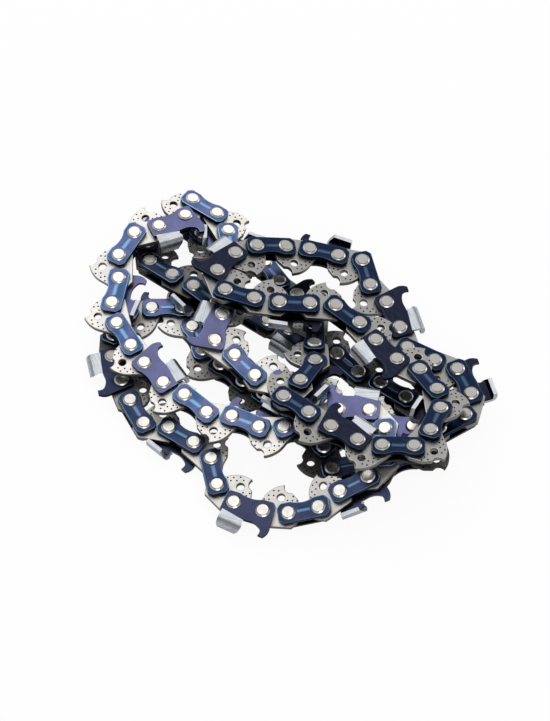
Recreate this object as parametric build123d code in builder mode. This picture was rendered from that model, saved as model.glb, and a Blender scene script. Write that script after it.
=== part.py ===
from build123d import *
import math
import os

# A closed loop of saw chain, dropped flat side up in a loose heap. Millimetres.
# In each link u runs along the travel, v towards the drive tangs and n up through its flat side.

# Pitch and plates
pitch = 8.255
strap_spacing = 8.98
gauge = 1.5
strap_thickness = 1.15
side_play = 0.45

# Rivets
hub_diameter = 4.6
hub_clearance = 0.15
shank_diameter = 3.2
shank_clearance = 0.02
head_diameter = 4.4
head_height = 0.5
head_rim = 0.3
head_recess = 0.12

# Drive link: runs past its rivets, and depths from the line through them
drive_back = 4.2
drive_back_run = 0.85
drive_ear = 3.15
drive_ear_rise = 1.6
drive_ear_fall = 1.0
drive_nose = 0.25
drive_front_run = 2.05
drive_front_depth = 4.6
shoulder_run = 0.1
shoulder_width = 1.15
shoulder_depth = 6.6
tang_depth = 9.0
tang_tip = 1.4
tang_notch = 0.5
tang_heel_run = 0.7
tang_heel_depth = 4.6
tang_belly = 0.9
tang_hole_diameter = 2.3
tang_hole_forward = 0.8
tang_hole_depth = 4.95

# Dimples punched in one face of the drive link, about the tang hole: depth of a row, then its places
dimple_diameter = 0.6
dimple_depth = 0.25
dimple_rows = (
    (-0.75, (-4.8, -3.4, 2.0, 3.4, 4.8)),
    (0.5, (-3.6, -2.2, 3.5)),
    (2.05, (-2.3, -0.9)),
)

# Tie strap
strap_end = 3.15
strap_half_width = 3.2
strap_corner = 1.4
strap_waist = 0.8
strap_waist_run = 1.0
groove_length = 4.2
groove_width = 1.3
groove_depth = 0.12

# Cutter: runs past its rivets, and depths from the line through them
cutter_tail_run = 2.8
cutter_heel_run = 3.2
cutter_heel_depth = 3.0
cutter_corner = 0.7
cutter_waist = 0.75
cutter_front_run = 2.8
gauge_front_run = 3.6
gauge_front_depth = 5.2
gauge_top_run = 2.4
gauge_top_depth = 8.0
gauge_hook_run = 0.95
gauge_hook_depth = 7.8
gullet_wall_depth = 5.8
gullet_forward = 0.9
gullet_depth = 4.4
gullet_scoop = 0.35
top_plate_thickness = 1.1
top_plate_depth = 7.3
top_plate_run = 3.0
top_plate_slope = 7.5
top_plate_reach = 1.6
top_plate_front = 0.2
top_plate_angle = 28.0
top_plate_bend = 2.0
fold_lap = 0.6

# The lay of the heap. Each row is one outer link as the loop is followed round: the place of its middle
# along X and Y, its layer above the surface, its heading and its climb, in degrees. The rows are drawn for a
# chain of the pitch and the layer height below; the exact places of the rivets are settled from them.
route_drawn_at = (8.255, 6.0)
lay_gap = 0.3
settle_rounds = 1500
level_rounds = 60
right_arm = (
    (51.5, -28, 1.01, 33, 0),
    (55.5, -14.5, 1.04, 113, 2),
    (43, -5, 1.07, 153, 3),
    (35, 8.5, 1.27, 115, 8),
    (27.5, 22.5, 1.50, 103, 2),
    (14.5, 29.5, 1.62, 167, 4),
    (-1.5, 30, 2.05, 187, 14),
    (-15, 22, 2.60, 232, 7),
)
upper_turns = (
    (-11.5, 9.7, 2.69, 343, -3),
    (6, 7.5, 2.46, 0, -2),
    (21.5, 5, 2.15, 319, -8),
    (32.5, -7, 1.92, 314, -3),
    (44.5, -17.5, 1.97, 303, 6),
    (46, -33, 2.43, 248, 10),
    (35, -42.5, 2.64, 178, -1),
    (19.5, -37.5, 2.51, 149, 0),
    (6, -28.5, 2.61, 144, 0),
    (9.5, -16, 2.37, 61, -10),
    (11.5, -1, 1.63, 90, -21),
    (9, 14, 0.88, 128, -10),
    (-1, 26.5, 0.50, 120, -10),
    (-12, 37.5, 0.20, 161, -2),
    (-26.5, 45.5, 0.10, 144, 1),
    (-38, 41.5, 0.37, 257, 12),
)
inner_run = (
    (-34.5, 27, 0.79, 321, 5),
    (-21.5, 17.5, 0.80, 321, -5),
    (-6.5, 12.5, 0.35, 331, -12),
    (8, 5.5, 0.02, 330, -1),
    (21.5, -4, 0, 313, 0),
    (35, -13.5, 0, 325, 0),
    (45.5, -25.5, 0, 285, 0),
    (37, -36.5, 0, 199, 0),
    (21, -39.5, 0, 189, 0),
    (11, -30, 0, 133, 0),
    (0, -18, 0, 138, 0),
    (-13, -7.5, 0, 139, 0),
    (-23.5, 5, 0, 111, 0),
    (-32.5, 15.5, 0.05, 179, 2),
    (-46.5, 10, 0.02, 244, 0),
)
front_run = (
    (-47, -6, 0, 291, 0),
    (-40.5, -21, 0, 299, 0),
    (-27.5, -29, 0, 326, 0),
    (-17.5, -41.5, 0, 282, 0),
    (-7.5, -53, 0.05, 340, 2),
    (8.5, -55, 0.35, 6, 12),
    (23, -49, 1.11, 22, 16),
    (32, -37.5, 1.68, 90, 6),
)
left_arm = (
    (23, -26.5, 1.72, 176, -5),
    (7, -30, 1.44, 200, -5),
    (-8.5, -28.5, 1.12, 153, -4),
    (-23, -22, 1.01, 138, 0),
    (-35.5, -11.5, 1.01, 130, 0),
    (-45, 2.5, 1.02, 120, 1),
    (-48, 18, 1.12, 79, 4),
    (-45, 33.5, 1.46, 60, 6),
    (-31.5, 41.5, 1.53, 29, -4),
    (-22, 48.5, 1.21, 328, -5),
    (-14, 35, 1.23, 278, 6),
    (-14, 18.5, 1.62, 262, 6),
    (-17, 2.5, 1.65, 257, -5),
    (-9, -9.5, 1.26, 313, -6),
    (5.5, -16, 1.03, 338, -5),
    (20, -23, 0.77, 340, -3),
    (36, -28.5, 0.86, 345, 5),
)
route = right_arm + upper_turns + inner_run + front_run + left_arm

# How the outer links alternate, and how many links go in each node
cutter_cycle = 4
left_cutter_turn = 3
right_cutter_turn = 1
links_per_drive_node = 4
links_per_strap_node = 8
links_per_rivet_node = 16

# Worked out from the sizes above
drive_spacing = 2 * pitch - strap_spacing
strap_half = strap_spacing / 2
drive_half = drive_spacing / 2
strap_inner = gauge / 2 + side_play
strap_outer = strap_inner + strap_thickness
half_width = strap_outer + head_height
strap_hole = shank_diameter + 2 * shank_clearance
drive_hole = hub_diameter + 2 * hub_clearance
layer = 2 * half_width + lay_gap

with BuildPart() as drive_link:
    with BuildSketch(Plane.XY.offset(-gauge / 2)):
        with BuildLine():
            back_rear = (-drive_half - drive_back_run, -drive_back)
            back_front = (drive_half + drive_back_run, -drive_back)
            ear_front = (drive_half + drive_ear, -drive_ear_rise)
            nose = (drive_half + drive_ear + drive_nose, drive_ear_fall)
            front = (drive_half + drive_front_run, drive_front_depth)
            shoulder_front = (drive_half + shoulder_run, shoulder_depth)
            shoulder_rear = (drive_half + shoulder_run - shoulder_width, shoulder_depth)
            tip = (tang_tip, tang_depth)
            heel = (-drive_half - tang_heel_run, tang_heel_depth)
            ear_low = (-drive_half - drive_ear, drive_ear_fall)
            ear_rear = (-drive_half - drive_ear, -drive_ear_rise)
            Polyline(heel, ear_low, ear_rear, back_rear, back_front, ear_front, nose, front)
            Polyline(front, shoulder_front, shoulder_rear)
            SagittaArc(shoulder_rear, tip, tang_notch)
            SagittaArc(tip, heel, -tang_belly)
        make_face()
        with Locations((-drive_half, 0), (drive_half, 0)):
            Circle(drive_hole / 2, mode=Mode.SUBTRACT)
        with Locations((tang_hole_forward, tang_hole_depth)):
            Circle(tang_hole_diameter / 2, mode=Mode.SUBTRACT)
    extrude(amount=gauge)
    with BuildSketch(Plane.XY.offset(gauge / 2)):
        for row_depth, row_places in dimple_rows:
            row_y = tang_hole_depth + row_depth
            with Locations(*[(tang_hole_forward + ahead, row_y) for ahead in row_places]):
                Circle(dimple_diameter / 2)
    extrude(amount=-dimple_depth, mode=Mode.SUBTRACT)

with BuildPart() as upper_strap:
    with BuildSketch(Plane.XY.offset(strap_inner)):
        with BuildLine():
            end = strap_half + strap_end
            shelf = end - strap_corner
            cheek = strap_half_width - strap_corner
            waist = strap_half - strap_waist_run
            Polyline(
                (-waist, strap_half_width),
                (-shelf, strap_half_width),
                (-end, cheek),
                (-end, -cheek),
                (-shelf, -strap_half_width),
                (shelf, -strap_half_width),
                (end, -cheek),
                (end, cheek),
                (shelf, strap_half_width),
                (waist, strap_half_width),
            )
            SagittaArc((waist, strap_half_width), (-waist, strap_half_width), strap_waist)
        make_face()
        with Locations((-strap_half, 0), (strap_half, 0)):
            Circle(strap_hole / 2, mode=Mode.SUBTRACT)
    extrude(amount=strap_thickness)
    with BuildSketch(Plane.XY.offset(strap_outer)):
        SlotOverall(groove_length, groove_width)
    extrude(amount=-groove_depth, mode=Mode.SUBTRACT)

with BuildPart() as lower_strap:
    mirror(upper_strap.part, about=Plane.XY)

# The chromed top plate is folded over from the side plate, rises forwards and is cut off at a slant
slope = math.radians(top_plate_slope)
slant = math.radians(top_plate_angle)
heel_end = -strap_half - cutter_heel_run
top_start = -strap_half - top_plate_run + top_plate_depth * math.sin(slope)
top_rise = Plane(origin=(top_start, 0, 0), x_dir=(0, 0, 1), z_dir=(-math.cos(slope), math.sin(slope), 0))
top_front = Plane(origin=(top_plate_front, 0, strap_outer), z_dir=(math.cos(slant), 0, -math.sin(slant)))
with BuildPart() as top_plate:
    with BuildSketch(top_rise):
        with BuildLine():
            crown = -top_plate_depth
            under = crown + top_plate_thickness
            lap = fold_lap - cutter_heel_depth
            inner_bend = top_plate_bend - strap_thickness
            Polyline(
                (strap_outer - top_plate_bend, crown),
                (-top_plate_reach, crown),
                (-top_plate_reach, under),
                (strap_inner - inner_bend, under),
            )
            RadiusArc((strap_inner - inner_bend, under), (strap_inner, under + inner_bend), -inner_bend)
            Polyline(
                (strap_inner, under + inner_bend),
                (strap_inner, lap),
                (strap_outer, lap),
                (strap_outer, crown + top_plate_bend),
            )
            RadiusArc((strap_outer, crown + top_plate_bend), (strap_outer - top_plate_bend, crown), top_plate_bend)
        make_face()
    extrude(amount=2 * top_start)
    split(bisect_by=top_front, keep=Keep.BOTTOM)

with BuildPart() as left_cutter:
    with BuildSketch(Plane.XY.offset(strap_inner)):
        with BuildLine():
            tail = (-strap_half - cutter_tail_run, strap_half_width - cutter_corner)
            tail_top = (-strap_half - cutter_tail_run + cutter_corner, strap_half_width)
            waist_rear = (strap_waist_run - strap_half, strap_half_width)
            waist_front = (strap_half - strap_waist_run, strap_half_width)
            chin_top = (strap_half + cutter_front_run - cutter_corner, strap_half_width)
            chin = (strap_half + cutter_front_run, strap_half_width - cutter_corner)
            gauge_front = (strap_half + gauge_front_run, -gauge_front_depth)
            gauge_top = (strap_half + gauge_top_run, -gauge_top_depth)
            gauge_hook = (strap_half + gauge_hook_run, -gauge_hook_depth)
            gullet_wall = (strap_half + gauge_hook_run, -gullet_wall_depth)
            gullet = (gullet_forward, -gullet_depth)
            tooth = (top_plate_front - strap_thickness * math.tan(slant), -gullet_depth)
            cutter_heel = (heel_end, -cutter_heel_depth)
            Polyline(waist_rear, tail_top, tail, cutter_heel, tooth, gullet)
            SagittaArc(gullet, gullet_wall, gullet_scoop)
            Polyline(gullet_wall, gauge_hook, gauge_top, gauge_front, chin, chin_top, waist_front)
            SagittaArc(waist_front, waist_rear, cutter_waist)
        make_face()
        with Locations((-strap_half, 0), (strap_half, 0)):
            Circle(strap_hole / 2, mode=Mode.SUBTRACT)
    extrude(amount=strap_thickness)
    add(top_plate.part)

with BuildPart() as right_cutter:
    mirror(left_cutter.part, about=Plane.XY)

with BuildPart() as rivet:
    with BuildSketch(Plane.XZ):
        with BuildLine():
            hub = hub_diameter / 2
            shank = shank_diameter / 2
            head = head_diameter / 2
            Polyline(
                (0, -half_width + head_recess),
                (head - 2 * head_rim, -half_width + head_recess),
                (head - 2 * head_rim + head_recess, -half_width),
                (head - head_rim, -half_width),
                (head, -half_width + head_rim),
                (head, -strap_outer),
                (shank, -strap_outer),
                (shank, -strap_inner),
                (hub, -strap_inner),
                (hub, strap_inner),
                (shank, strap_inner),
                (shank, strap_outer),
                (head, strap_outer),
                (head, half_width - head_rim),
                (head - head_rim, half_width),
                (head - 2 * head_rim + head_recess, half_width),
                (head - 2 * head_rim, half_width - head_recess),
                (0, half_width - head_recess),
                close=True,
            )
        make_face()
    revolve(axis=Axis.Z)


def lay_rivets():
    """Rivet centres round the loop: set out from the route, then pulled to the two hole spacings."""
    drawn_pitch, drawn_layer = route_drawn_at
    plan = pitch / drawn_pitch
    steepness = (layer / drawn_layer) / plan
    centres = []
    for x, y, level, heading, climb in route:
        rise = math.atan(math.tan(math.radians(climb)) * steepness)
        turn = math.radians(heading)
        ahead = (math.cos(turn) * math.cos(rise), math.sin(turn) * math.cos(rise), math.sin(rise))
        middle = (x * plan, y * plan, half_width + level * layer)
        for end in (-strap_half, strap_half):
            centres.append([place + end * step for place, step in zip(middle, ahead)])
    for _ in range(settle_rounds):
        for first in (0, 1):
            wanted = drive_spacing if first else strap_spacing
            for rear in range(first, len(centres), 2):
                a = centres[rear]
                b = centres[(rear + 1) % len(centres)]
                gap = math.dist(a, b)
                pull = (gap - wanted) / gap / 2
                for axis in range(3):
                    shift = pull * (b[axis] - a[axis])
                    a[axis] += shift
                    b[axis] -= shift
    return [Vector(*centre) for centre in centres]


def lay_links(centres):
    """A plane for each link in turn: x along the travel, z settled between its neighbours'."""
    count = len(centres)
    ahead = [(centres[(i + 1) % count] - centres[i]).normalized() for i in range(count)]
    middle = [(centres[(i + 1) % count] + centres[i]) / 2 for i in range(count)]
    up = [Vector(0, 0, 1)] * count
    for _ in range(level_rounds):
        mixed = [up[i - 1] + up[i] * 2 + up[(i + 1) % count] for i in range(count)]
        up = [(mixed[i] - ahead[i] * mixed[i].dot(ahead[i])).normalized() for i in range(count)]
    return [Plane(origin=middle[i], x_dir=ahead[i], z_dir=up[i]) for i in range(count)]


rivet_centres = lay_rivets()
link_planes = lay_links(rivet_centres)
outer_planes = link_planes[0::2]
drive_planes = link_planes[1::2]

# Every node: its name and, for each shape in it, the planes it is placed on
nodes = {}


def place(name, shape, plane):
    """Puts one more copy of a shape in a node."""
    nodes.setdefault(name, []).append((shape, plane))


left_count = 0
right_count = 0
for k, plane in enumerate(outer_planes):
    strap_node = f"tie_straps_{k // links_per_strap_node + 1:02d}"
    rivet_node = f"rivets_{k // links_per_rivet_node + 1:02d}"
    drive_node = f"drive_links_{k // links_per_drive_node + 1:02d}"
    if k % cutter_cycle == left_cutter_turn:
        left_count += 1
        place(f"left_cutter_{left_count:02d}", left_cutter.part, plane)
    else:
        place(strap_node, upper_strap.part, plane)
    if k % cutter_cycle == right_cutter_turn:
        right_count += 1
        place(f"right_cutter_{right_count:02d}", right_cutter.part, plane)
    else:
        place(strap_node, lower_strap.part, plane)
    for centre in rivet_centres[2 * k : 2 * k + 2]:
        place(rivet_node, rivet.part, Plane(origin=centre, x_dir=plane.x_dir, z_dir=plane.z_dir))
    place(drive_node, drive_link.part, drive_planes[k])

# The origin goes to the middle of the heap, on the surface it lies on
boxes = [shape.moved(plane.location).bounding_box() for copies in nodes.values() for shape, plane in copies]
low = [min(getattr(box.min, axis) for box in boxes) for axis in "XYZ"]
high = [max(getattr(box.max, axis) for box in boxes) for axis in "XYZ"]
origin = Location((-(low[0] + high[0]) / 2, -(low[1] + high[1]) / 2, -low[2]))

os.makedirs("parts", exist_ok=True)
for name, copies in nodes.items():
    with BuildPart() as node:
        add([shape.moved(origin * plane.location) for shape, plane in copies])
    node.part.label = name
    export_step(node.part, f"parts/{name}.step")
print("nodes", len(nodes), "pieces", sum(len(copies) for copies in nodes.values()))
print("size", [round(top - bottom, 2) for bottom, top in zip(low, high)])
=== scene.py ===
import math

import bmesh
import bpy
import numpy as np
from bpy.props import FloatProperty, FloatVectorProperty, PointerProperty
from mathutils import Matrix, Vector


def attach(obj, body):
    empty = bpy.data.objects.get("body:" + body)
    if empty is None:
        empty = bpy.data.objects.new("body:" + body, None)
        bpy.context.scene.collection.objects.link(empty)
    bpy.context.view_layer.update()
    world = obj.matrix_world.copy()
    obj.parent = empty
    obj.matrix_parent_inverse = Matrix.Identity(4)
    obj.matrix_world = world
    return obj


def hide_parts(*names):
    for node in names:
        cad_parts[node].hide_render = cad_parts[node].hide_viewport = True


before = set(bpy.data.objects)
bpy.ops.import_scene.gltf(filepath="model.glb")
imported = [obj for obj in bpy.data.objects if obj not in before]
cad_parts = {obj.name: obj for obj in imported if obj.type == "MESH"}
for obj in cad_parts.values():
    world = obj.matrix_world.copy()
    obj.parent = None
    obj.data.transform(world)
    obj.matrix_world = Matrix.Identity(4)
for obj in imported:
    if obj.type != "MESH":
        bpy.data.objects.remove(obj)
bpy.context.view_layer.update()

bl_info = {
    "name": "Saw Chain Loop",
    "version": (1, 0, 0),
    "blender": (4, 5, 0),
    "location": "View3D > Sidebar > Saw Chain",
    "description": "Dresses the links, cutters and rivets of a heaped saw chain",
    "category": "Object",
}

# Pieces are drawn in millimetres in a link's own frame: u along the travel, v towards the tangs
# and n up through the flat side. They are laid in metres where the solids of the frame lie.
MM = 0.001
CIRCLE_ARCS = 8
ARC_STEPS = 8
SPIN_STEPS = 32

# How squarely a face looks along n: a flat side, the shallow slopes of a groove, and a wall
FLAT_FACING = 0.9995
GROOVE_FACING = 0.93
WALL_FACING = 0.45

# Strands of the heap, as shares of the way round the loop
# Painted shade: the finishes darken the links of the strand on top of the heap
TOP_STRAND = (-0.02, 0.31)
# Painted shade: the finishes darken the strands under the heap, and less the one that runs out from it
UNDER_STRAND = (0.362, 0.556)
COVERED_STRAND = (0.59, 0.62)
OUTER_STRAND = (0.62, 0.712)
STRAND_FADE = 0.01

# Radii on a rivet head, in millimetres: its flat disc, where the rim begins, and two dark lines: one
# round the disc, and a painted shadow at the foot
HEAD_DISC = 1.66
HEAD_RIM = (1.70, 1.78)
DISC_LINE = ((1.62, 1.68), (1.82, 1.76))
FOOT_SHADOW = (2.12, 2.18)

# How far the patterns of the finishes shift along the loop, in millimetres for a whole turn
PATTERN_SHIFT = (611, 283)
RING_SHIFT = 97

# What metal sees of the room from the horizon up: height and brightness
ROOM_STOPS = ((0.0, 0.4), (1.0, 0.5), (0.25, 0.6), (0.55, 0.5), (0.8, 0.3))
FLOOR_REACH = 3.0
FLOOR_WHITE = 0.93
FLOOR_IN_METAL = 0.3


def size(name, description, default):
    """A length of a piece, in millimetres."""
    return FloatProperty(name=name, description=description, default=default, min=0.01, precision=3)


def colour(name, description, default):
    """A colour of a finish."""
    return FloatVectorProperty(
        name=name, description=description, default=default, subtype="COLOR", min=0, max=1
    )


def power(name, description, default):
    """The power of a light."""
    return FloatProperty(name=name, description=description, default=default, unit="POWER")


def width(name, description, default):
    """A side of a light, in metres."""
    return FloatProperty(name=name, description=description, default=default, subtype="DISTANCE")


def spot(name, description, default):
    """A place in the scene, in metres."""
    return FloatVectorProperty(name=name, description=description, default=default, subtype="XYZ")


class ChainSizes(bpy.types.PropertyGroup):
    """Sizes of the links that the pieces are drawn from, in millimetres"""

    strap_spacing: size("Strap spacing", "Between the two rivets of a strap or cutter", 8.98)
    drive_spacing: size("Drive spacing", "Between the two rivets of a drive link", 7.53)
    gauge: size("Gauge", "Thickness of a drive link", 1.5)
    strap_inner: size("Strap inner face", "From the middle of the chain to a strap", 1.2)
    strap_outer: size("Strap outer face", "From the middle of the chain to a strap's outside", 2.35)
    half_width: size("Half width", "From the middle of the chain to the top of a rivet head", 2.85)
    hub: size("Hub", "Radius of a rivet between the straps", 2.3)
    shank: size("Shank", "Radius of a rivet in a strap", 1.6)
    head: size("Head", "Radius of a rivet head", 2.2)
    strap_hole: size("Strap hole", "Radius of a hole in a strap", 1.62)
    drive_hole: size("Drive hole", "Radius of a hub hole in a drive link", 2.45)
    rounding: size("Rounding", "Radius of the tumbled edges of a plate", 0.14)


class ChainFinishes(bpy.types.PropertyGroup):
    """Colours of the finishes"""

    bare_steel: colour("Bare steel", "Tumbled steel of the drive links", (0.70, 0.68, 0.65))
    bare_dull: colour("Bare steel, dull", "Duller patches of the drive links", (0.60, 0.58, 0.55))
    # Painted shade on the walls of the drive links
    bare_wall_shade: colour("Bare steel, walls", "Cut walls of the drive links", (0.07, 0.067, 0.064))
    # Painted shade of the drive links on top of the heap
    bare_top_shade: colour("Bare steel, top", "Drive links on top of the heap", (0.19, 0.19, 0.185))
    # Painted shade of the drive links under the heap
    bare_under_shade: colour("Bare steel, under", "Drive links under the heap", (0.025, 0.025, 0.025))
    pit: colour("Pit", "Inside of the dimples", (0.02, 0.02, 0.02))
    strap_blue: colour("Strap blue", "Blued steel of the straps", (0.036, 0.08, 0.17))
    # Painted shade of the straps on top of the heap
    strap_top_shade: colour("Strap, top", "Straps on top of the heap", (0.0055, 0.0102, 0.028))
    cutter_violet: colour("Cutter violet", "Blued side plate of a cutter", (0.09, 0.094, 0.172))
    # Painted shade of the cutters on top of the heap
    cutter_top_shade: colour("Cutter, top", "Cutters on top of the heap", (0.0095, 0.0108, 0.0215))
    blued_violet: colour("Blued violet", "Where the bluing turns violet", (0.11, 0.113, 0.235))
    # Painted highlight on rounded edges and in grooves; light blue scratches take it too
    blued_scratch_and_highlight: colour("Blued edge", "Bluing on rounded edges and in grooves", (0.24, 0.46, 0.74))
    # Painted shade on the walls of straps and cutters
    blued_wall_shade: colour("Blued walls", "Cut walls of straps and cutters", (0.004, 0.006, 0.012))
    # Painted shade of blued steel under the heap
    blued_under_shade: colour("Blued, under", "Blued steel under the heap", (0.008, 0.012, 0.025))
    chrome: colour("Chrome", "Plating on the tooth of a cutter", (0.48, 0.505, 0.54))
    rivet_steel: colour("Rivet steel", "Bright steel of the rivets", (0.76, 0.74, 0.70))
    # Painted shade of the rivets on top of the heap
    rivet_top_shade: colour("Rivet, top", "Rivets on top of the heap", (0.25, 0.245, 0.235))
    # Painted shade of the rivets under the heap
    rivet_under_shade: colour("Rivet, under", "Rivets under the heap", (0.08, 0.08, 0.08))
    # Dark line round the disc, and painted shadow round the foot of a head
    rivet_line: colour("Rivet line", "Round the disc and the foot of a head", (0.06, 0.06, 0.06))
    floor: colour("Floor", "The surface under the chain", (0.93, 0.93, 0.93))


class ChainStage(bpy.types.PropertyGroup):
    """Camera and light"""

    elevation: FloatProperty(
        name="Elevation",
        description="Of the camera above the floor",
        default=math.radians(57),
        subtype="ANGLE",
    )
    distance: FloatProperty(
        name="Distance",
        description="From the camera to what it looks at",
        default=0.731,
        subtype="DISTANCE",
    )
    lens: FloatProperty(
        name="Lens",
        description="Focal length of the camera in millimetres",
        default=121.5,
        subtype="DISTANCE_CAMERA",
    )
    aim: spot("Aim", "What the camera looks at", (-0.00406, 0.00418, 0.0001))
    key: power("Key", "Power of the large softbox behind the chain", 6.2)
    key_place: spot("Key place", "From the aim to the softbox", (-0.12, 0.50, 0.75))
    key_width: width("Key width", "Of the softbox", 1.4)
    key_height: width("Key height", "Of the softbox", 1.1)
    rim: power("Rim", "Power of the low light on the right", 0.35)
    rim_place: spot("Rim place", "From the aim to the low light", (0.62, 0.30, 0.14))
    rim_width: width("Rim width", "Of the low light, which is square", 0.25)
    front: power("Front", "Power of the soft light before the chain", 2.6)
    front_place: spot("Front place", "From the aim to the front light", (0.10, -0.85, 0.45))
    front_width: width("Front width", "Of the front light, which is square", 0.6)
    fill: FloatProperty(name="Fill", description="Strength of the room", default=0.45)


def read_solids(node):
    """The solids of a CAD node: the points of each, and the direction most of its area faces."""
    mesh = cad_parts[node].data
    points = np.empty(len(mesh.vertices) * 3, np.float32)
    mesh.vertices.foreach_get("co", points)
    points, number = np.unique(points.reshape(-1, 3), axis=0, return_inverse=True)
    number = number.ravel()
    edges = np.empty(len(mesh.edges) * 2, np.int32)
    mesh.edges.foreach_get("vertices", edges)
    edges = number[edges].reshape(-1, 2)
    # Points that edges join take the lowest number among them, until nothing changes
    group = np.arange(len(points))
    settled = False
    while not settled:
        before = group.copy()
        lowest = np.minimum(group[edges[:, 0]], group[edges[:, 1]])
        np.minimum.at(group, edges[:, 0], lowest)
        np.minimum.at(group, edges[:, 1], lowest)
        group = group[group]
        settled = (group == before).all()
    normals = np.empty(len(mesh.polygons) * 3, np.float32)
    mesh.polygons.foreach_get("normal", normals)
    normals = normals.reshape(-1, 3)
    areas = np.empty(len(mesh.polygons), np.float32)
    mesh.polygons.foreach_get("area", areas)
    owner = group[number[[polygon.vertices[0] for polygon in mesh.polygons]]]
    solids = []
    for name in np.unique(group):
        mine = owner == name
        spread = (normals[mine] * areas[mine, None]).T @ normals[mine]
        facing = np.linalg.eigh(spread)[1][:, -1]
        solids.append((points[group == name].astype(float) / MM, facing * np.sign(facing[2])))
    return solids


def nodes_named(start):
    """The names of the CAD nodes of one kind, in order."""
    return sorted(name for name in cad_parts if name.startswith(start))


def bored_by(points, rivets, bore, slack=0.15):
    """The numbers of the two rivets that go through the bores of a plate."""
    counts = []
    for centre, axis in rivets:
        away = points - centre
        along = away @ axis
        radius = np.sqrt(np.maximum((away * away).sum(1) - along * along, 0))
        on_bore = (abs(radius - bore) < slack) & (abs(along) < bore + slack)
        counts.append(np.count_nonzero(on_bore))
    return np.argsort(counts)[-2:]


def link_frame(origin, ahead, up):
    """The matrix that lays a piece drawn in millimetres where a link is, in metres."""
    u = Vector(ahead).normalized()
    n = Vector(up)
    n = (n - u * n.dot(u)).normalized()
    v = n.cross(u)
    turn = Matrix((u, v, n)).transposed()
    return Matrix.Translation(Vector(origin) * MM) @ turn.to_4x4() @ Matrix.Scale(MM, 4)


class Lay:
    """Where every link and rivet of the frame lies, and how far round the loop it is."""

    def __init__(self, sizes):
        self.rivets = []
        self.rivet_nodes = {}
        for node in nodes_named("rivets"):
            self.rivet_nodes[node] = []
            for points, axis in read_solids(node):
                self.rivet_nodes[node].append(len(self.rivets))
                self.rivets.append((points.mean(0), axis))
        self.ahead_of = {}
        self.drives = {}
        for node in nodes_named("drive_links"):
            self.drives[node] = [self.drive_link(points, up, sizes) for points, up in read_solids(node)]
        strap_rears = set(self.ahead_of.values())
        self.outers = {}
        for kind in ("tie_straps", "left_cutter", "right_cutter"):
            for node in nodes_named(kind):
                self.outers[node] = [
                    self.outer_link(points, strap_rears, sizes) for points, _ in read_solids(node)
                ]
        behind = {front: rear for rear, front in self.ahead_of.items()}
        first = self.rivet_nodes["rivets_01"]
        here = next(rivet for rivet in first if rivet in strap_rears and behind[rivet] not in first)
        self.turn = {}
        for step in range(len(self.rivets)):
            self.turn[here] = step / len(self.rivets)
            here = self.ahead_of[here]

    def between(self, a, b):
        """The point half way between two rivets, and the way from one to the other."""
        return (self.rivets[a][0] + self.rivets[b][0]) / 2, self.rivets[b][0] - self.rivets[a][0]

    def drive_link(self, points, up, sizes):
        """The frame and the rear rivet of a drive link, with its tang to the left of the travel."""
        a, b = bored_by(points, self.rivets, sizes.drive_hole)
        middle, ahead = self.between(a, b)
        tang_side = (points - middle) @ np.cross(up, ahead)
        if tang_side.max() < -tang_side.min():
            a, b = b, a
            ahead = -ahead
        self.ahead_of[a] = b
        return link_frame(middle, ahead, up), a

    def outer_link(self, points, strap_rears, sizes):
        """The frame and the rear rivet of a strap or cutter, and whether it is on the upper side."""
        a, b = bored_by(points, self.rivets, sizes.strap_hole)
        if a not in strap_rears:
            a, b = b, a
        self.ahead_of[a] = b
        middle, ahead = self.between(a, b)
        up = self.rivets[a][1]
        above = (points.mean(0) - middle) @ up > 0
        return link_frame(middle, ahead, up), a, above

    def rivet_frame(self, rivet):
        """A rivet's own frame, turned along the travel."""
        centre, axis = self.rivets[rivet]
        return link_frame(centre, self.rivets[self.ahead_of[rivet]][0] - centre, axis)


def add_outline(curve, corners):
    """One closed outline of a plate. A corner is (u, v, bow): bow bends the edge after it left."""
    spline = curve.splines.new("BEZIER")
    spline.use_cyclic_u = True
    spline.bezier_points.add(len(corners) - 1)
    for i, (u, v, bow) in enumerate(corners):
        here = spline.bezier_points[i]
        there = spline.bezier_points[(i + 1) % len(corners)]
        start = Vector((u, v, 0))
        end = Vector((*corners[(i + 1) % len(corners)][:2], 0))
        left = Vector((start.y - end.y, end.x - start.x, 0)).normalized() * bow * 4 / 3
        here.co = start
        here.handle_right_type = "FREE" if bow else "VECTOR"
        there.handle_left_type = "FREE" if bow else "VECTOR"
        here.handle_right = start.lerp(end, 1 / 3) + left
        there.handle_left = start.lerp(end, 2 / 3) + left


def hole(u, v, radius):
    """The outline of a round hole, clockwise."""
    step = 2 * math.pi / CIRCLE_ARCS
    bow = radius * (1 - math.cos(step / 2))
    return [
        (u + radius * math.cos(-i * step), v + radius * math.sin(-i * step), bow)
        for i in range(CIRCLE_ARCS)
    ]


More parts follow.
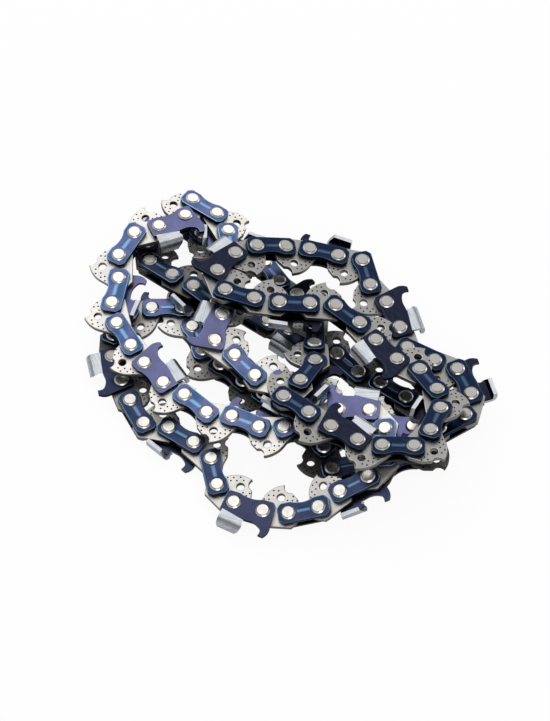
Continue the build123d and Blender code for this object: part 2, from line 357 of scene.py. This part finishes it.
def plate(outline, holes, low, high, rounding, sharp_below=False):
    """A flat plate between two heights, its edges rounded, or only the upper ones."""
    bottom = low - rounding if sharp_below else low
    curve = bpy.data.curves.new("plate", "CURVE")
    curve.dimensions = "2D"
    curve.fill_mode = "BOTH"
    curve.extrude = (high - bottom) / 2 - rounding
    curve.bevel_depth = rounding
    curve.bevel_resolution = 1
    curve.offset = -rounding
    curve.resolution_u = ARC_STEPS
    for corners in [outline] + holes:
        add_outline(curve, corners)
    drawing = bpy.data.objects.new("plate", curve)
    mesh = bpy.data.meshes.new_from_object(drawing)
    bpy.data.objects.remove(drawing)
    bpy.data.curves.remove(curve)
    bm = bmesh.new()
    bm.from_mesh(mesh)
    bmesh.ops.remove_doubles(bm, verts=bm.verts, dist=rounding / 50)
    bmesh.ops.recalc_face_normals(bm, faces=bm.faces)
    bmesh.ops.translate(bm, verts=bm.verts, vec=(0, 0, (bottom + high) / 2))
    for vert in bm.verts:
        vert.co.z = max(vert.co.z, low)
    bm.to_mesh(mesh)
    bm.free()
    return mesh


def carve(mesh, tool):
    """Cuts one mesh out of another."""
    whole = bpy.data.objects.new("whole", mesh)
    knife = bpy.data.objects.new("knife", tool)
    for thing in (whole, knife):
        bpy.context.scene.collection.objects.link(thing)
    cut = whole.modifiers.new("carve", "BOOLEAN")
    cut.operation = "DIFFERENCE"
    cut.solver = "EXACT"
    cut.object = knife
    seen = whole.evaluated_get(bpy.context.evaluated_depsgraph_get())
    done = bpy.data.meshes.new_from_object(seen)
    for thing in (whole, knife):
        bpy.data.objects.remove(thing)
    return done


def new_mesh(bm, name):
    """A mesh of what was drawn, which is then let go."""
    mesh = bpy.data.meshes.new(name)
    bm.to_mesh(mesh)
    bm.free()
    return mesh


def spun(profile):
    """A solid of revolution about n, from (radius, n) points."""
    bm = bmesh.new()
    ring = [bm.verts.new((r, 0, n)) for r, n in profile]
    for a, b in zip(ring, ring[1:]):
        bm.edges.new((a, b))
    bmesh.ops.spin(
        bm,
        geom=bm.verts[:] + bm.edges[:],
        axis=(0, 0, 1),
        cent=(0, 0, 0),
        angle=2 * math.pi,
        steps=SPIN_STEPS,
        use_merge=True,
    )
    bmesh.ops.remove_doubles(bm, verts=bm.verts, dist=1e-4)
    bmesh.ops.recalc_face_normals(bm, faces=bm.faces)
    return new_mesh(bm, "spun")


def mirrored(mesh):
    """The same piece for the underside of the chain."""
    bm = bmesh.new()
    bm.from_mesh(mesh)
    bmesh.ops.scale(bm, verts=bm.verts, vec=(1, 1, -1))
    bmesh.ops.reverse_faces(bm, faces=bm.faces)
    return new_mesh(bm, mesh.name)


def join(*meshes):
    """Several meshes in one."""
    bm = bmesh.new()
    for mesh in meshes:
        bm.from_mesh(mesh)
    return new_mesh(bm, "joined")


def edge_mark_share(face, marked_above):
    """How much of the edge colour a face takes, the painted highlight on blued steel: 1 on a rounded
    edge, less up the slopes of a groove, 0 elsewhere.
    """
    groove_middle = 0.7
    groove_half = 0.9
    facing = abs(face.normal.z)
    middle = face.calc_center_median()
    if not WALL_FACING < facing < FLAT_FACING or abs(middle.z) <= marked_above:
        return 0.0
    if facing > GROOVE_FACING:
        # The painted highlight fades up the slopes of a groove
        return max(0, groove_middle - (middle.y / groove_half) ** 2)
    return 1.0


def smooth(mesh, crease=35, marked_above=0.0):
    """Rounds the shading of a piece. For its finish, notes the place in the link, walls and edges."""
    bm = bmesh.new()
    bm.from_mesh(mesh)
    link = bm.verts.layers.float_vector.new("link")
    edge = bm.faces.layers.float.new("edge")
    wall = bm.faces.layers.float.new("wall")
    for vert in bm.verts:
        vert[link] = vert.co
    for face in bm.faces:
        face.smooth = True
        face[edge] = edge_mark_share(face, marked_above)
        face[wall] = 1.0 if abs(face.normal.z) < WALL_FACING else 0.0
    for line in bm.edges:
        flats = [abs(face.normal.z) > FLAT_FACING for face in line.link_faces]
        turned = len(flats) == 2 and line.calc_face_angle() > math.radians(crease)
        line.smooth = not turned and len(set(flats)) == 1
    bm.to_mesh(mesh)
    bm.free()
    return mesh


def lay_copies(node, copies, finishes):
    """One piece that stands for a CAD node: each copy is (mesh, frame, share of the loop)."""
    bm = bmesh.new()
    turn_layer = bm.verts.layers.float.new("turn")
    for mesh, place, turn in copies:
        first = len(bm.verts)
        bm.from_mesh(mesh)
        bm.verts.ensure_lookup_table()
        added = bm.verts[first:]
        bmesh.ops.transform(bm, matrix=place, verts=added)
        for vert in added:
            vert[turn_layer] = turn
    whole = new_mesh(bm, "shown_" + node)
    for finish in finishes:
        whole.materials.append(finish)
    piece = bpy.data.objects.new("shown_" + node, whole)
    bpy.context.scene.collection.objects.link(piece)
    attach(piece, "root")
    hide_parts(node)


class Socket:
    """An output of a node, on which arithmetic adds the Math nodes that work it out."""

    def __init__(self, nodes, link):
        self.nodes = nodes
        self.link = link

    def math(self, operation, *values):
        """One Math node on two values."""
        return self.nodes.node("ShaderNodeMath", {"operation": operation}, dict(enumerate(values)))

    def __add__(self, other):
        return self.math("ADD", self, other)

    def __mul__(self, other):
        return self.math("MULTIPLY", self, other)

    def __sub__(self, other):
        return self.math("SUBTRACT", self, other)

    def __rsub__(self, other):
        return self.math("SUBTRACT", other, self)

    __radd__ = __add__
    __rmul__ = __mul__


class Nodes:
    """The nodes of a finish or of the room."""

    def __init__(self, tree):
        self.tree = tree

    def node(self, kind, settings=None, sockets=None, out=0):
        """Adds a node: its settings first, then the values or links of its sockets."""
        made = self.tree.nodes.new(kind)
        for name, value in (settings or {}).items():
            if name == "stops":
                for i, (place, grey) in enumerate(value):
                    ramp = made.color_ramp.elements
                    stop = ramp[i] if i < 2 else ramp.new(place)
                    stop.position = place
                    stop.color = (grey, grey, grey, 1)
            else:
                setattr(made, name, value)
        for name, value in (sockets or {}).items():
            self.feed(made.inputs[name], value)
        return Socket(self, made.outputs[out])

    def feed(self, entry, value):
        """Links or sets one input."""
        if isinstance(value, Socket):
            self.tree.links.new(value.link, entry)
        elif entry.type == "RGBA":
            entry.default_value = (*value[:3], 1)
        else:
            entry.default_value = value

    def ray(self, kind):
        """1 for one kind of ray and 0 for the others."""
        return self.node("ShaderNodeLightPath", out=f"Is {kind} Ray")


class Finish(Nodes):
    """A material of nodes round one Principled shader."""

    def __init__(self, name, metallic=1.0):
        self.material = bpy.data.materials.new(name)
        self.material.use_nodes = True
        super().__init__(self.material.node_tree)
        self.shader = self.tree.nodes["Principled BSDF"]
        self.set("Metallic", metallic)

    def set(self, name, value):
        """Links or sets an input of the shader."""
        self.feed(self.shader.inputs[name], value)

    def mix(self, share, a, b):
        """A colour between two others."""
        return self.node("ShaderNodeMix", {"data_type": "RGBA"}, {0: share, 6: a, 7: b}, 2)

    def vector(self, operation, *values, out=0):
        """One Vector Math node."""
        return self.node("ShaderNodeVectorMath", {"operation": operation}, dict(enumerate(values)), out)

    def attribute(self, name):
        """A number noted on the piece."""
        return self.node("ShaderNodeAttribute", {"attribute_name": name}, out=2)

    def link_place(self):
        """The place in the link, in millimetres."""
        return self.node("ShaderNodeAttribute", {"attribute_name": "link"}, out=1)

    def place(self, stretch):
        """The place in the link, shifted from link to link so that no two look alike."""
        turn = self.attribute("turn")
        along, across = PATTERN_SHIFT
        shift = self.node("ShaderNodeCombineXYZ", None, {"X": turn * along, "Y": turn * across})
        return self.vector("MULTIPLY", self.vector("ADD", self.link_place(), shift), stretch)

    def ramp(self, value, low, high):
        """From 0 to 1 as a number goes from low to high."""
        ends = {0: value, 1: low, 2: high, 3: 0.0, 4: 1.0}
        return self.node("ShaderNodeMapRange", {"clamp": True}, ends)

    def noise(self, scale, detail=3.0, stretch=(1, 1, 1), low=0.35, high=0.65):
        """Cloudy variation from 0 to 1, with so many clouds to a millimetre."""
        inputs = {"Vector": self.place(stretch), "Scale": scale, "Detail": detail}
        return self.ramp(self.node("ShaderNodeTexNoise", None, inputs), low, high)

    def bump(self, height, depth):
        """Relief of the surface, as deep as the given millimetres."""
        inputs = {"Strength": 1.0, "Distance": depth * MM, "Height": height}
        self.set("Normal", self.node("ShaderNodeBump", None, inputs))

    def strand(self, first, last):
        """1 on the links between two shares of the way round the loop, and 0 on the others."""
        turn = self.attribute("turn")
        begun = self.ramp(turn, first - STRAND_FADE, first + STRAND_FADE)
        return begun * self.ramp(turn, last + STRAND_FADE, last - STRAND_FADE)

    def top_shade(self):
        """1 on the strand that lies on top of the heap, which the finishes darken with painted shade.
        """
        return self.strand(*TOP_STRAND)

    def under_shade(self, outer):
        """1 on the strands under the heap, which the finishes darken with painted shade, and outer on
        the one that runs out from it.
        """
        under = self.strand(*UNDER_STRAND) + self.strand(*COVERED_STRAND)
        return under + self.strand(*OUTER_STRAND) * outer


def bare_steel(colours):
    """Tumbled bare steel of the drive links, with painted shade on their walls and on the strands on
    top and under the heap, and black in their dimples.
    """
    finish = Finish("bare_steel")
    cloud = finish.noise(0.5)
    grain = finish.noise(7.0, detail=5.0)
    scratch = finish.noise(1.2, detail=4.0, stretch=(0.35, 9, 0.35), low=0.55, high=0.75)
    edge = finish.attribute("edge")
    # Painted shade on the walls, and a little on the rounded edges
    cut = edge * 0.15 + finish.attribute("wall") * 0.85
    # Painted shade: darker drive links on the strands under the heap and on the strand on top, the
    # rounded edges on top less so
    under = finish.under_shade(0.15) * 0.85
    top = finish.top_shade() * (0.85 - edge * 0.7)
    tone = finish.mix(cloud * 0.7 + grain * 0.3, colours.bare_dull, colours.bare_steel)
    tone = finish.mix(cut, tone, colours.bare_wall_shade)
    tone = finish.mix(under, tone, colours.bare_under_shade)
    tone = finish.mix(top, tone, colours.bare_top_shade)
    finish.set("Base Color", finish.mix(finish.attribute("pit"), tone, colours.pit))
    finish.set("Roughness", 0.36 + grain * 0.12 + scratch * 0.08)
    finish.bump(grain * 0.6 + scratch * 0.4, depth=0.006)
    return finish.material


def blued_steel(name, colours, body, body_top_shade, edge_share):
    """Heat-blued steel, from navy to violet, with a painted bright blue highlight on its rounded edges
    and in its groove, and painted shade on its walls and on the strands on top and under the heap.
    """
    finish = Finish(name)
    cloud = finish.noise(0.22, detail=2.0)
    grain = finish.noise(6.0, detail=4.0)
    scratch = finish.noise(1.0, detail=4.0, stretch=(0.3, 7, 0.3), low=0.58, high=0.74)
    # Painted highlight on the rounded edges and along the groove, dimmed on the strands painted with
    # shade
    lit = 1 - finish.top_shade() * 0.75 - finish.under_shade(0.6) * 0.6
    edge = finish.attribute("edge") * lit * edge_share
    tone = finish.mix(cloud, body, colours.blued_violet)
    # Painted shade: darker colours on the strand on top and on the strands under the heap
    tone = finish.mix(finish.top_shade() * 0.97, tone, body_top_shade)
    tone = finish.mix(finish.under_shade(0.8) * 0.85, tone, colours.blued_under_shade)
    tone = finish.mix(scratch * 0.08, tone, colours.blued_scratch_and_highlight)
    # Painted shade on the walls
    tone = finish.mix(finish.attribute("wall") * 0.95, tone, colours.blued_wall_shade)
    finish.set("Base Color", finish.mix(edge, tone, colours.blued_scratch_and_highlight))
    finish.set("Roughness", 0.26 + grain * 0.08 + scratch * 0.06)
    finish.bump(grain, depth=0.003)
    return finish.material


def tooth_chrome(colours):
    """Hard chrome of the cutter's tooth, with the drawn lines of its rolling."""
    finish = Finish("tooth_chrome")
    line = finish.noise(1.0, stretch=(0.08, 5, 5), low=0.4, high=0.7)
    cloud = finish.noise(0.5, detail=2.0)
    dull = tuple(0.6 * part for part in colours.chrome)
    finish.set("Base Color", finish.mix(line * 0.75 + cloud * 0.25, colours.chrome, dull))
    finish.set("Roughness", 0.26 + line * 0.10)
    finish.bump(line, depth=0.004)
    return finish.material


def rivet_steel(colours):
    """Bright steel of the rivets, with the rings of the spinning tool on their heads, painted shade on
    the strands on top and under the heap, and a painted shadow round the foot of each head.
    """
    finish = Finish("rivet_steel")
    flat = finish.vector("MULTIPLY", finish.link_place(), (1, 1, 0))
    radius = finish.vector("LENGTH", flat, out=1)
    lines = {"W": radius + finish.attribute("turn") * RING_SHIFT, "Scale": 9.0}
    rings = finish.node("ShaderNodeTexNoise", {"noise_dimensions": "1D"}, lines)
    cloud = finish.noise(0.8)
    rim = finish.ramp(radius, *HEAD_RIM)
    disc_line = finish.ramp(radius, *DISC_LINE[0]) * finish.ramp(radius, *DISC_LINE[1])
    foot_shadow = finish.ramp(radius, *FOOT_SHADOW)
    dull = tuple(0.74 * part for part in colours.rivet_steel)
    tone = finish.mix(cloud * 0.5 + rings * 0.5, colours.rivet_steel, dull)
    # Painted shade on the strands under the heap and on the strand on top, kept off the rim
    tone = finish.mix(finish.under_shade(0.15) * 0.62 * (1 - rim), tone, colours.rivet_under_shade)
    tone = finish.mix(finish.top_shade() * 0.9 * (1 - rim), tone, colours.rivet_top_shade)
    # Dark line round the disc, and painted shadow round the foot of the head
    finish.set("Base Color", finish.mix(disc_line * 0.8 + foot_shadow * 0.8, tone, colours.rivet_line))
    finish.set("Roughness", 0.20 + rings * 0.10 + cloud * 0.06)
    finish.bump(rings, depth=0.006)
    return finish.material


def drive_link_mesh(sizes):
    """A drive link: hub holes, a tang with an oil hole, and dimples punched round it."""
    half = sizes.drive_spacing / 2
    face = sizes.gauge / 2
    rounding = 1.5 * sizes.rounding
    ear = half + 3.15
    ear_rise = -1.6
    ear_fall = 1.0
    nose = half + 3.4
    back = -4.2
    back_end = half + 0.85
    heel = -half - 0.7
    chin = half + 2.05
    chin_depth = 4.6
    shoulder_front = half + 0.1
    shoulder_rear = half - 1.05
    shoulder_depth = 6.6
    tip = (1.4, 9.0)
    notch = 0.5
    belly = -0.9
    outline = [
        (heel, chin_depth, 0),
        (-ear, ear_fall, 0),
        (-ear, ear_rise, 0),
        (-back_end, back, 0),
        (back_end, back, 0),
        (ear, ear_rise, 0),
        (nose, ear_fall, 0),
        (chin, chin_depth, 0),
        (shoulder_front, shoulder_depth, 0),
        (shoulder_rear, shoulder_depth, notch),
        (*tip, belly),
    ]
    oil_hole = (0.8, 4.95)
    oil_radius = 1.15
    holes = [hole(u, 0, sizes.drive_hole) for u in (-half, half)]
    mesh = plate(outline, holes + [hole(*oil_hole, oil_radius)], -face, face, rounding)
    # Dimples about the oil hole: how far out a row is, then its places along the travel
    rows = ((-0.75, (-4.8, -3.4, 2.0, 3.4, 4.8)), (0.5, (-3.6, -2.2, 3.5)), (2.05, (-2.3, -0.9)))
    dimples = [(oil_hole[0] + ahead, oil_hole[1] + out) for out, row in rows for ahead in row]
    point = 0.2
    mouth = 0.34
    punch_length = 0.5
    slack = 0.02
    bm = bmesh.new()
    for u, v in dimples:
        bmesh.ops.create_cone(
            bm,
            cap_ends=True,
            segments=12,
            radius1=point,
            radius2=mouth,
            depth=punch_length,
            matrix=Matrix.Translation((u, v, face)),
        )
    mesh = smooth(carve(mesh, new_mesh(bm, "punches")))
    pit = mesh.attributes.new("pit", "FLOAT", "FACE")
    for polygon in mesh.polygons:
        u, v, n = polygon.center
        inside = any(math.dist((u, v), dimple) < mouth + slack for dimple in dimples)
        sunk = 0 < n < face - slack / 2
        pit.data[polygon.index].value = 1.0 if inside and sunk else 0.0
    return mesh


def strap_mesh(sizes):
    """A tie strap: cut corners, one side waisted, and a rolled groove between the rivets."""
    half = sizes.strap_spacing / 2
    end = half + 3.15
    side = 3.2
    cut = 1.4
    corner = 0.12
    waist = half - 1.0
    waist_depth = 0.8
    outline = [
        (-waist, side, 0),
        (cut - end, side, -corner),
        (-end, side - cut, 0),
        (-end, cut - side, -corner),
        (cut - end, -side, 0),
        (end - cut, -side, -corner),
        (end, cut - side, 0),
        (end, side - cut, -corner),
        (end - cut, side, 0),
        (waist, side, waist_depth),
    ]
    holes = [hole(u, 0, sizes.strap_hole) for u in (-half, half)]
    rounding = 2.0 * sizes.rounding
    mesh = plate(outline, holes, sizes.strap_inner, sizes.strap_outer, rounding, sharp_below=True)
    # The roller is a ball pulled long, sunk a little in the outer face
    roll = 2.0
    sunk = 0.14
    reach = 1.3
    bm = bmesh.new()
    along = Matrix.Rotation(math.pi / 2, 4, "Y")
    bmesh.ops.create_uvsphere(bm, u_segments=48, v_segments=24, radius=roll, matrix=along)
    for vert in bm.verts:
        vert.co.x += math.copysign(reach, vert.co.x) if abs(vert.co.x) > 1e-5 else 0
    bmesh.ops.translate(bm, verts=bm.verts, vec=(0, 0, sizes.strap_outer + roll - sunk))
    return carve(mesh, new_mesh(bm, "groove"))


def side_plate_mesh(sizes):
    """The side plate of a left cutter, with its gullet and its hooked depth gauge."""
    half = sizes.strap_spacing / 2
    side = 3.2
    corner = 0.7
    end = half + 2.8
    waist = half - 1.0
    waist_depth = 0.75
    heel = (-half - 3.2, -3.0)
    gullet_rear = (-0.41, -4.4)
    gullet_front = (0.9, -4.4)
    gullet_scoop = 0.55
    hook = half + 0.95
    hook_foot = -5.8
    hook_tip = -7.8
    hook_hollow = 0.25
    gauge_top = (half + 2.4, -8.0)
    gauge_front = (half + 3.6, -5.2)
    gauge_swell = -0.3
    outline = [
        (-waist, side, 0),
        (corner - end, side, 0),
        (-end, side - corner, 0),
        (*heel, 0),
        (*gullet_rear, 0),
        (*gullet_front, gullet_scoop),
        (hook, hook_foot, hook_hollow),
        (hook, hook_tip, 0),
        (*gauge_top, gauge_swell),
        (*gauge_front, 0),
        (end, side - corner, 0),
        (end - corner, side, 0),
        (waist, side, waist_depth),
    ]
    holes = [hole(u, 0, sizes.strap_hole) for u in (-half, half)]
    return plate(outline, holes, sizes.strap_inner, sizes.strap_outer, sizes.rounding, sharp_below=True)


def tooth_mesh(sizes):
    """The tooth of a left cutter: a plate that rises forwards, folded over and cut off at a slant.

    It is chromed outside and blued inside, the second and the first finish of a cutter.
    """
    plating = 0.02
    slope = math.radians(7.5)
    slant = math.tan(math.radians(28))
    crown = 7.3
    bend = 2.0
    rear = -sizes.strap_spacing / 2 - 3.0 + crown * math.sin(slope)
    tip = 0.2
    fold_n = sizes.strap_outer - bend
    fold_q = crown - bend
    inner = sizes.strap_inner - fold_n - plating
    outer = bend + plating
    low_rear = 2.95
    low_front = 3.75
    reach = -1.6
    file_hollow = 0.35
    fold_steps = 8
    leg_steps = 4
    rows = 7
    rim_rounding = 0.07
    rim_angle = math.radians(40)

    # The section across the tooth, from the foot of the leg round the fold: outside and inside
    section = [((fold_n + outer, 0.0), (fold_n + inner, 0.0))]
    for i in range(1, leg_steps):
        q = low_rear + (fold_q - low_rear) * i / leg_steps
        section.append(((fold_n + outer, q), (fold_n + inner, q)))
    for i in range(fold_steps + 1):
        turn = math.pi / 2 * i / fold_steps
        section.append(
            tuple((fold_n + r * math.cos(turn), fold_q + r * math.sin(turn)) for r in (outer, inner))
        )
    section.append(((reach, fold_q + outer), (reach, fold_q + inner)))

    def at(n, q, share):
        """A point of the section, a share of the way from the rear to the cutting edge."""
        low = low_rear + (low_front - low_rear) * share
        q = max(q, low)
        front = tip + (n - sizes.strap_outer) * slant
        if q < fold_q:
            front -= file_hollow * math.sin(math.pi * min(1, max(0, (q - low) / (fold_q - low))))
        p = (front - rear + q * math.sin(slope)) / math.cos(slope) * share
        u = rear + p * math.cos(slope) - q * math.sin(slope)
        return u, -p * math.sin(slope) - q * math.cos(slope), n

    bm = bmesh.new()
    shares = [row / (rows - 1) for row in range(rows)]
    outside, inside = (
        [[bm.verts.new(at(*pair[skin], share)) for share in shares] for pair in section]
        for skin in (0, 1)
    )
    last = len(section) - 1
    blued = []
    for a in range(last):
        for b in range(rows - 1):
            bm.faces.new((outside[a][b], outside[a + 1][b], outside[a + 1][b + 1], outside[a][b + 1]))
            blued.append(
                bm.faces.new((inside[a][b], inside[a][b + 1], inside[a + 1][b + 1], inside[a + 1][b]))
            )
        for b in (0, rows - 1):
            bm.faces.new((outside[a][b], outside[a + 1][b], inside[a + 1][b], inside[a][b]))
    for b in range(rows - 1):
        for a in (0, last):
            bm.faces.new((outside[a][b], outside[a][b + 1], inside[a][b + 1], inside[a][b]))
    for face in bm.faces:
        face.material_index = 0 if face in blued else 1
    bmesh.ops.recalc_face_normals(bm, faces=bm.faces)
    rims = [line for line in bm.edges if line.calc_face_angle() > rim_angle]
    bmesh.ops.bevel(
        bm, geom=rims, offset=rim_rounding, segments=2, profile=0.5, affect="EDGES", clamp_overlap=True
    )
    return new_mesh(bm, "tooth")


def rivet_mesh(sizes):
    """A rivet: a hub, two shanks, and heads spun to a flat disc inside a chamfered rim."""
    top = sizes.half_width
    under = sizes.strap_outer
    dish = 0.01
    # The rim of a head: radius, and drop below the disc
    rim = ((1.72, 0.04), (1.76, 0.06), (1.88, 0.15), (2.00, 0.26), (2.12, 0.38), (sizes.head, 0.44))
    upper = [
        (0.0, top - dish),
        (HEAD_DISC, top),
        *((radius, top - drop) for radius, drop in rim),
        (sizes.head, under),
        (sizes.shank, under),
        (sizes.shank, sizes.strap_inner),
        (sizes.hub, sizes.strap_inner),
    ]
    return spun(upper + [(r, -n) for r, n in reversed(upper)])


_lay = []


def lay():
    """Where the links lie, read from the frame once."""
    if not _lay:
        _lay.append(Lay(bpy.context.scene.chain_sizes))
    return _lay[0]


def both_sides(mesh, sizes):
    """A strap or cutter for the upper side of the chain, and its copy for the underside."""
    middle = (sizes.strap_inner + sizes.strap_outer) / 2
    lower = smooth(mirrored(mesh), marked_above=middle)
    return smooth(mesh, marked_above=middle), lower


class CHAIN_OT_drive_links(bpy.types.Operator):
    """Dress the drive links in tumbled steel"""

    bl_idname = "chain.drive_links"
    bl_label = "Drive Links"

    def execute(self, context):
        mesh = drive_link_mesh(context.scene.chain_sizes)
        steel = bare_steel(context.scene.chain_finishes)
        for node, links in lay().drives.items():
            copies = [(mesh, place, lay().turn[rivet]) for place, rivet in links]
            lay_copies(node, copies, [steel])
        return {"FINISHED"}


class CHAIN_OT_tie_straps(bpy.types.Operator):
    """Dress the tie straps in blued steel"""

    bl_idname = "chain.tie_straps"
    bl_label = "Tie Straps"

    def execute(self, context):
        colours = context.scene.chain_finishes
        sizes = context.scene.chain_sizes
        upper, lower = both_sides(strap_mesh(sizes), sizes)
        blued = blued_steel(
            "blued_strap", colours, colours.strap_blue, colours.strap_top_shade, edge_share=0.8
        )
        for node in nodes_named("tie_straps"):
            copies = [
                (upper if above else lower, place, lay().turn[rivet])
                for place, rivet, above in lay().outers[node]
            ]
            lay_copies(node, copies, [blued])
        return {"FINISHED"}


class CHAIN_OT_cutters(bpy.types.Operator):
    """Dress the cutters: blued side plates and chromed teeth"""

    bl_idname = "chain.cutters"
    bl_label = "Cutters"

    def execute(self, context):
        colours = context.scene.chain_finishes
        sizes = context.scene.chain_sizes
        left, right = both_sides(join(side_plate_mesh(sizes), tooth_mesh(sizes)), sizes)
        blued = blued_steel(
            "blued_cutter", colours, colours.cutter_violet, colours.cutter_top_shade, edge_share=0.5
        )
        finishes = [blued, tooth_chrome(colours)]
        for kind, mesh in (("left_cutter", left), ("right_cutter", right)):
            for node in nodes_named(kind):
                copies = [(mesh, place, lay().turn[rivet]) for place, rivet, _ in lay().outers[node]]
                lay_copies(node, copies, finishes)
        return {"FINISHED"}


class CHAIN_OT_rivets(bpy.types.Operator):
    """Dress the rivets in bright spun steel"""

    bl_idname = "chain.rivets"
    bl_label = "Rivets"

    def execute(self, context):
        mesh = smooth(rivet_mesh(context.scene.chain_sizes), crease=28)
        steel = rivet_steel(context.scene.chain_finishes)
        for node, rivets in lay().rivet_nodes.items():
            copies = [(mesh, lay().rivet_frame(rivet), lay().turn[rivet]) for rivet in rivets]
            lay_copies(node, copies, [steel])
        return {"FINISHED"}


class CHAIN_OT_stage(bpy.types.Operator):
    """Set the floor, the light and the camera"""

    bl_idname = "chain.stage"
    bl_label = "Stage"

    def execute(self, context):
        scene = context.scene
        stage = scene.chain_stage
        scene.view_settings.view_transform = "Standard"
        self.floor(scene, scene.chain_finishes.floor)
        self.room(scene, stage.fill)
        aim = Vector(stage.aim)
        for name, breadth, height in (
            ("key", stage.key_width, stage.key_height),
            ("rim", stage.rim_width, stage.rim_width),
            ("front", stage.front_width, stage.front_width),
        ):
            place = aim + Vector(getattr(stage, name + "_place"))
            self.softbox(scene, name, place, aim, breadth, height, getattr(stage, name))
        camera = bpy.data.objects.new("camera", bpy.data.cameras.new("camera"))
        scene.collection.objects.link(camera)
        ahead = Vector((0, math.cos(stage.elevation), -math.sin(stage.elevation)))
        camera.location = aim - ahead * stage.distance
        camera.rotation_euler = ahead.to_track_quat("-Z", "Y").to_euler()
        camera.data.lens = stage.lens
        scene.camera = camera
        return {"FINISHED"}

    @staticmethod
    def floor(scene, tint):
        """A wide pale floor that shows white and keeps the shadow of the chain."""
        far = FLOOR_REACH
        corners = [(-far, -far, 0), (far, -far, 0), (far, far, 0), (-far, far, 0)]
        mesh = bpy.data.meshes.new("floor")
        mesh.from_pydata(corners, [], [(0, 1, 2, 3)])
        floor = bpy.data.objects.new("floor", mesh)
        scene.collection.objects.link(floor)
        finish = Finish("pale_floor", metallic=0.0)
        finish.set("Base Color", tint)
        finish.set("Roughness", 0.8)
        glow = finish.node("ShaderNodeEmission", None, {"Color": (1, 1, 1), "Strength": 1.0})
        shown = Socket(finish, finish.shader.outputs[0])
        seen = finish.ray("Camera") + finish.ray("Transmission")
        share = seen * FLOOR_WHITE + finish.ray("Glossy") * FLOOR_IN_METAL
        both = finish.node("ShaderNodeMixShader", None, {0: share, 1: shown, 2: glow})
        finish.feed(finish.tree.nodes["Material Output"].inputs["Surface"], both)
        mesh.materials.append(finish.material)

    @staticmethod
    def room(scene, strength):
        """Even light from all round, white to the camera. Metal sees a brighter horizon."""
        world = bpy.data.worlds.new("room")
        scene.world = world
        world.use_nodes = True
        nodes = Nodes(world.node_tree)
        direction = nodes.node("ShaderNodeTexCoord", out="Generated")
        height = nodes.node("ShaderNodeSeparateXYZ", None, {0: direction}, "Z")
        studio = nodes.node("ShaderNodeValToRGB", {"stops": ROOM_STOPS}, {0: height})
        white = nodes.ray("Camera") + nodes.ray("Transmission")
        glossy = nodes.ray("Glossy")
        background = nodes.tree.nodes["Background"]
        nodes.feed(background.inputs["Color"], (1, 1, 1))
        level = white + glossy * studio + (1 - white - glossy) * strength
        nodes.feed(background.inputs["Strength"], level)

    @staticmethod
    def softbox(scene, name, place, aim, breadth, height, watts):
        """A flat soft light that faces the chain."""
        light = bpy.data.lights.new(name, "AREA")
        light.shape = "RECTANGLE"
        light.size = breadth
        light.size_y = height
        light.energy = watts
        lamp = bpy.data.objects.new(name, light)
        lamp.location = place
        lamp.rotation_euler = (aim - place).to_track_quat("-Z", "Y").to_euler()
        scene.collection.objects.link(lamp)


class CHAIN_PT_panel(bpy.types.Panel):
    """Lists the pieces of the saw chain"""

    bl_idname = "CHAIN_PT_panel"
    bl_label = "Saw Chain"
    bl_space_type = "VIEW_3D"
    bl_region_type = "UI"
    bl_category = "Saw Chain"

    def draw(self, context):
        for operator in OPERATORS:
            self.layout.operator(operator.bl_idname)
        for group in GROUPS:
            settings = getattr(context.scene, group)
            for name in settings.__annotations__:
                self.layout.prop(settings, name)


OPERATORS = (
    CHAIN_OT_drive_links,
    CHAIN_OT_tie_straps,
    CHAIN_OT_cutters,
    CHAIN_OT_rivets,
    CHAIN_OT_stage,
)
GROUPS = {"chain_sizes": ChainSizes, "chain_finishes": ChainFinishes, "chain_stage": ChainStage}


def register():
    """Adds the settings, the operators and the panel to Blender."""
    for name, group in GROUPS.items():
        bpy.utils.register_class(group)
        setattr(bpy.types.Scene, name, PointerProperty(type=group))
    for operator in OPERATORS:
        bpy.utils.register_class(operator)
    bpy.utils.register_class(CHAIN_PT_panel)


def unregister():
    """Takes them out again."""
    bpy.utils.unregister_class(CHAIN_PT_panel)
    for operator in OPERATORS:
        bpy.utils.unregister_class(operator)
    for name, group in GROUPS.items():
        delattr(bpy.types.Scene, name)
        bpy.utils.unregister_class(group)


def main():
    """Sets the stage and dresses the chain."""
    register()
    bpy.ops.chain.stage()
    bpy.ops.chain.drive_links()
    bpy.ops.chain.tie_straps()
    bpy.ops.chain.cutters()
    bpy.ops.chain.rivets()


if __name__ == "__main__":
    main()
